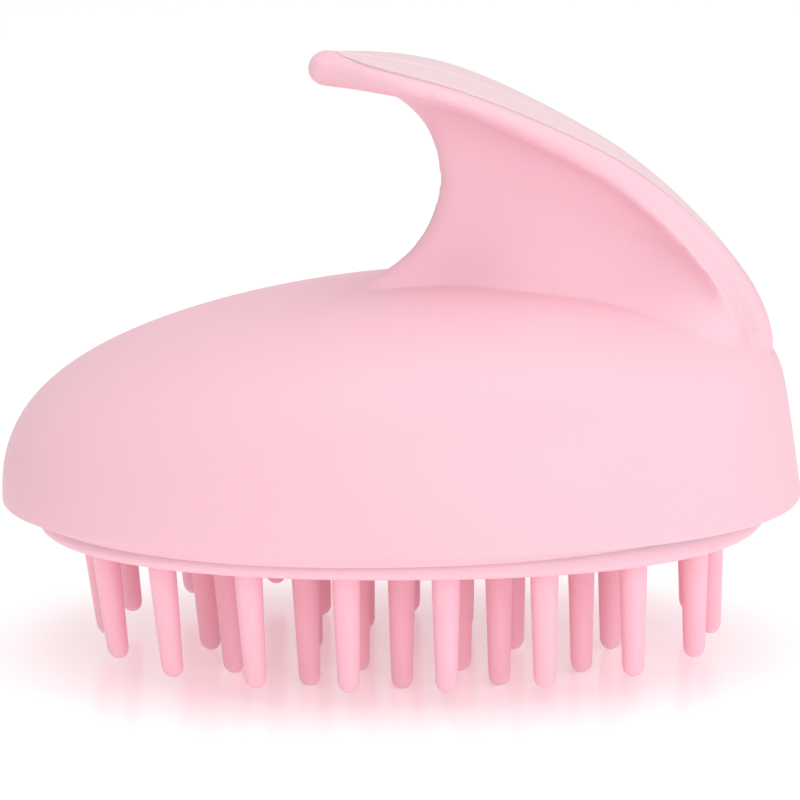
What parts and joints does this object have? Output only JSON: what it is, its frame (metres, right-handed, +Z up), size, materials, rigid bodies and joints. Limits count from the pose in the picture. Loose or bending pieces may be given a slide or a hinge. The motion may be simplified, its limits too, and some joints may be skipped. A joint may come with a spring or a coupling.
{
  "type": "scalp massager brush",
  "caption": "Domed scalp massager brush: a hollow egg-shaped shell with a hook-like finger strap on an upright web, over a soft pad of flexible tapered pins.",
  "frame": {"origin": "the centre pin's tip, on the floor the pins stand on, under the middle of the dome's outline", "axes": "+Z up; +X along the brush from its nose, where the finger gap opens, to its heel, where the strap rises; the brush is symmetric about the XZ plane"},
  "size_m": [0.0996, 0.073, 0.076],
  "materials": {
    "shell_plastic": "satin moulded plastic, pale pink",
    "cover_plastic": "satin moulded plastic, paler pink",
    "plate_plastic": "plain moulded plastic, hidden",
    "pad_silicone": "soft translucent pink silicone, smooth"
  },
  "bodies": {
    "brush_body": {"upper_shell": "shell_plastic", "handle_cover": "cover_plastic", "base_plate": "plate_plastic", "silicone_pad": "pad_silicone"},
    "outer_pin_01": {"outer_pin_01": "pad_silicone"},
    "outer_pin_02": {"outer_pin_02": "pad_silicone"},
    "outer_pin_03": {"outer_pin_03": "pad_silicone"},
    "outer_pin_04": {"outer_pin_04": "pad_silicone"},
    "outer_pin_05": {"outer_pin_05": "pad_silicone"},
    "outer_pin_06": {"outer_pin_06": "pad_silicone"},
    "outer_pin_07": {"outer_pin_07": "pad_silicone"},
    "outer_pin_08": {"outer_pin_08": "pad_silicone"},
    "outer_pin_09": {"outer_pin_09": "pad_silicone"},
    "outer_pin_10": {"outer_pin_10": "pad_silicone"},
    "outer_pin_11": {"outer_pin_11": "pad_silicone"},
    "outer_pin_12": {"outer_pin_12": "pad_silicone"},
    "outer_pin_13": {"outer_pin_13": "pad_silicone"},
    "outer_pin_14": {"outer_pin_14": "pad_silicone"},
    "outer_pin_15": {"outer_pin_15": "pad_silicone"},
    "outer_pin_16": {"outer_pin_16": "pad_silicone"},
    "outer_pin_17": {"outer_pin_17": "pad_silicone"},
    "outer_pin_18": {"outer_pin_18": "pad_silicone"},
    "middle_pin_01": {"middle_pin_01": "pad_silicone"},
    "middle_pin_02": {"middle_pin_02": "pad_silicone"},
    "middle_pin_03": {"middle_pin_03": "pad_silicone"},
    "middle_pin_04": {"middle_pin_04": "pad_silicone"},
    "middle_pin_05": {"middle_pin_05": "pad_silicone"},
    "middle_pin_06": {"middle_pin_06": "pad_silicone"},
    "middle_pin_07": {"middle_pin_07": "pad_silicone"},
    "middle_pin_08": {"middle_pin_08": "pad_silicone"},
    "middle_pin_09": {"middle_pin_09": "pad_silicone"},
    "middle_pin_10": {"middle_pin_10": "pad_silicone"},
    "middle_pin_11": {"middle_pin_11": "pad_silicone"},
    "middle_pin_12": {"middle_pin_12": "pad_silicone"},
    "inner_pin_01": {"inner_pin_01": "pad_silicone"},
    "inner_pin_02": {"inner_pin_02": "pad_silicone"},
    "inner_pin_03": {"inner_pin_03": "pad_silicone"},
    "inner_pin_04": {"inner_pin_04": "pad_silicone"},
    "inner_pin_05": {"inner_pin_05": "pad_silicone"},
    "inner_pin_06": {"inner_pin_06": "pad_silicone"},
    "centre_pin": {"centre_pin": "pad_silicone"}
  },
  "joints": [
    {"name": "outer_pin_01_flex", "type": "hinge", "parent": "brush_body", "child": "outer_pin_01", "pos_m": [0.0386, 0, 0.015], "axis": [0, 1, 0], "range_deg": [-20, 20], "stiffness_Nm_per_rad": 0.003},
    {"name": "outer_pin_02_flex", "type": "hinge", "parent": "brush_body", "child": "outer_pin_02", "pos_m": [0.0363, 0.01172, 0.015], "axis": [0, 1, 0], "range_deg": [-20, 20], "stiffness_Nm_per_rad": 0.003},
    {"name": "outer_pin_03_flex", "type": "hinge", "parent": "brush_body", "child": "outer_pin_03", "pos_m": [0.02865, 0.02087, 0.015], "axis": [0, 1, 0], "range_deg": [-20, 20], "stiffness_Nm_per_rad": 0.003},
    {"name": "outer_pin_04_flex", "type": "hinge", "parent": "brush_body", "child": "outer_pin_04", "pos_m": [0.01787, 0.0261, 0.015], "axis": [0, 1, 0], "range_deg": [-20, 20], "stiffness_Nm_per_rad": 0.003},
    {"name": "outer_pin_05_flex", "type": "hinge", "parent": "brush_body", "child": "outer_pin_05", "pos_m": [0.00602, 0.02813, 0.015], "axis": [0, 1, 0], "range_deg": [-20, 20], "stiffness_Nm_per_rad": 0.003},
    {"name": "outer_pin_06_flex", "type": "hinge", "parent": "brush_body", "child": "outer_pin_06", "pos_m": [-0.00602, 0.02813, 0.015], "axis": [0, 1, 0], "range_deg": [-20, 20], "stiffness_Nm_per_rad": 0.003},
    {"name": "outer_pin_07_flex", "type": "hinge", "parent": "brush_body", "child": "outer_pin_07", "pos_m": [-0.01787, 0.0261, 0.015], "axis": [0, 1, 0], "range_deg": [-20, 20], "stiffness_Nm_per_rad": 0.003},
    {"name": "outer_pin_08_flex", "type": "hinge", "parent": "brush_body", "child": "outer_pin_08", "pos_m": [-0.02865, 0.02087, 0.015], "axis": [0, 1, 0], "range_deg": [-20, 20], "stiffness_Nm_per_rad": 0.003},
    {"name": "outer_pin_09_flex", "type": "hinge", "parent": "brush_body", "child": "outer_pin_09", "pos_m": [-0.0363, 0.01172, 0.015], "axis": [0, 1, 0], "range_deg": [-20, 20], "stiffness_Nm_per_rad": 0.003},
    {"name": "outer_pin_10_flex", "type": "hinge", "parent": "brush_body", "child": "outer_pin_10", "pos_m": [-0.0386, 0, 0.015], "axis": [0, 1, 0], "range_deg": [-20, 20], "stiffness_Nm_per_rad": 0.003},
    {"name": "outer_pin_11_flex", "type": "hinge", "parent": "brush_body", "child": "outer_pin_11", "pos_m": [-0.0363, -0.01172, 0.015], "axis": [0, 1, 0], "range_deg": [-20, 20], "stiffness_Nm_per_rad": 0.003},
    {"name": "outer_pin_12_flex", "type": "hinge", "parent": "brush_body", "child": "outer_pin_12", "pos_m": [-0.02865, -0.02087, 0.015], "axis": [0, 1, 0], "range_deg": [-20, 20], "stiffness_Nm_per_rad": 0.003},
    {"name": "outer_pin_13_flex", "type": "hinge", "parent": "brush_body", "child": "outer_pin_13", "pos_m": [-0.01787, -0.0261, 0.015], "axis": [0, 1, 0], "range_deg": [-20, 20], "stiffness_Nm_per_rad": 0.003},
    {"name": "outer_pin_14_flex", "type": "hinge", "parent": "brush_body", "child": "outer_pin_14", "pos_m": [-0.00602, -0.02813, 0.015], "axis": [0, 1, 0], "range_deg": [-20, 20], "stiffness_Nm_per_rad": 0.003},
    {"name": "outer_pin_15_flex", "type": "hinge", "parent": "brush_body", "child": "outer_pin_15", "pos_m": [0.00602, -0.02813, 0.015], "axis": [0, 1, 0], "range_deg": [-20, 20], "stiffness_Nm_per_rad": 0.003},
    {"name": "outer_pin_16_flex", "type": "hinge", "parent": "brush_body", "child": "outer_pin_16", "pos_m": [0.01787, -0.0261, 0.015], "axis": [0, 1, 0], "range_deg": [-20, 20], "stiffness_Nm_per_rad": 0.003},
    {"name": "outer_pin_17_flex", "type": "hinge", "parent": "brush_body", "child": "outer_pin_17", "pos_m": [0.02865, -0.02087, 0.015], "axis": [0, 1, 0], "range_deg": [-20, 20], "stiffness_Nm_per_rad": 0.003},
    {"name": "outer_pin_18_flex", "type": "hinge", "parent": "brush_body", "child": "outer_pin_18", "pos_m": [0.0363, -0.01172, 0.015], "axis": [0, 1, 0], "range_deg": [-20, 20], "stiffness_Nm_per_rad": 0.003},
    {"name": "middle_pin_01_flex", "type": "hinge", "parent": "brush_body", "child": "middle_pin_01", "pos_m": [0.0261, 0, 0.015], "axis": [0, 1, 0], "range_deg": [-20, 20], "stiffness_Nm_per_rad": 0.003},
    {"name": "middle_pin_02_flex", "type": "hinge", "parent": "brush_body", "child": "middle_pin_02", "pos_m": [0.0224, 0.01115, 0.015], "axis": [0, 1, 0], "range_deg": [-20, 20], "stiffness_Nm_per_rad": 0.003},
    {"name": "middle_pin_03_flex", "type": "hinge", "parent": "brush_body", "child": "middle_pin_03", "pos_m": [0.01229, 0.01734, 0.015], "axis": [0, 1, 0], "range_deg": [-20, 20], "stiffness_Nm_per_rad": 0.003},
    {"name": "middle_pin_04_flex", "type": "hinge", "parent": "brush_body", "child": "middle_pin_04", "pos_m": [0.0004, 0.0188, 0.015], "axis": [0, 1, 0], "range_deg": [-20, 20], "stiffness_Nm_per_rad": 0.003},
    {"name": "middle_pin_05_flex", "type": "hinge", "parent": "brush_body", "child": "middle_pin_05", "pos_m": [-0.01149, 0.01734, 0.015], "axis": [0, 1, 0], "range_deg": [-20, 20], "stiffness_Nm_per_rad": 0.003},
    {"name": "middle_pin_06_flex", "type": "hinge", "parent": "brush_body", "child": "middle_pin_06", "pos_m": [-0.0216, 0.01115, 0.015], "axis": [0, 1, 0], "range_deg": [-20, 20], "stiffness_Nm_per_rad": 0.003},
    {"name": "middle_pin_07_flex", "type": "hinge", "parent": "brush_body", "child": "middle_pin_07", "pos_m": [-0.0253, 0, 0.015], "axis": [0, 1, 0], "range_deg": [-20, 20], "stiffness_Nm_per_rad": 0.003},
    {"name": "middle_pin_08_flex", "type": "hinge", "parent": "brush_body", "child": "middle_pin_08", "pos_m": [-0.0216, -0.01115, 0.015], "axis": [0, 1, 0], "range_deg": [-20, 20], "stiffness_Nm_per_rad": 0.003},
    {"name": "middle_pin_09_flex", "type": "hinge", "parent": "brush_body", "child": "middle_pin_09", "pos_m": [-0.01149, -0.01734, 0.015], "axis": [0, 1, 0], "range_deg": [-20, 20], "stiffness_Nm_per_rad": 0.003},
    {"name": "middle_pin_10_flex", "type": "hinge", "parent": "brush_body", "child": "middle_pin_10", "pos_m": [0.0004, -0.0188, 0.015], "axis": [0, 1, 0], "range_deg": [-20, 20], "stiffness_Nm_per_rad": 0.003},
    {"name": "middle_pin_11_flex", "type": "hinge", "parent": "brush_body", "child": "middle_pin_11", "pos_m": [0.01229, -0.01734, 0.015], "axis": [0, 1, 0], "range_deg": [-20, 20], "stiffness_Nm_per_rad": 0.003},
    {"name": "middle_pin_12_flex", "type": "hinge", "parent": "brush_body", "child": "middle_pin_12", "pos_m": [0.0224, -0.01115, 0.015], "axis": [0, 1, 0], "range_deg": [-20, 20], "stiffness_Nm_per_rad": 0.003},
    {"name": "inner_pin_01_flex", "type": "hinge", "parent": "brush_body", "child": "inner_pin_01", "pos_m": [0.0139, 0, 0.015], "axis": [0, 1, 0], "range_deg": [-20, 20], "stiffness_Nm_per_rad": 0.003},
    {"name": "inner_pin_02_flex", "type": "hinge", "parent": "brush_body", "child": "inner_pin_02", "pos_m": [0.00741, 0.01035, 0.015], "axis": [0, 1, 0], "range_deg": [-20, 20], "stiffness_Nm_per_rad": 0.003},
    {"name": "inner_pin_03_flex", "type": "hinge", "parent": "brush_body", "child": "inner_pin_03", "pos_m": [-0.00541, 0.01035, 0.015], "axis": [0, 1, 0], "range_deg": [-20, 20], "stiffness_Nm_per_rad": 0.003},
    {"name": "inner_pin_04_flex", "type": "hinge", "parent": "brush_body", "child": "inner_pin_04", "pos_m": [-0.0119, 0, 0.015], "axis": [0, 1, 0], "range_deg": [-20, 20], "stiffness_Nm_per_rad": 0.003},
    {"name": "inner_pin_05_flex", "type": "hinge", "parent": "brush_body", "child": "inner_pin_05", "pos_m": [-0.00541, -0.01035, 0.015], "axis": [0, 1, 0], "range_deg": [-20, 20], "stiffness_Nm_per_rad": 0.003},
    {"name": "inner_pin_06_flex", "type": "hinge", "parent": "brush_body", "child": "inner_pin_06", "pos_m": [0.00741, -0.01035, 0.015], "axis": [0, 1, 0], "range_deg": [-20, 20], "stiffness_Nm_per_rad": 0.003},
    {"name": "centre_pin_flex", "type": "hinge", "parent": "brush_body", "child": "centre_pin", "pos_m": [0, 0, 0.015], "axis": [0, 1, 0], "range_deg": [-20, 20], "stiffness_Nm_per_rad": 0.003}
  ]
}
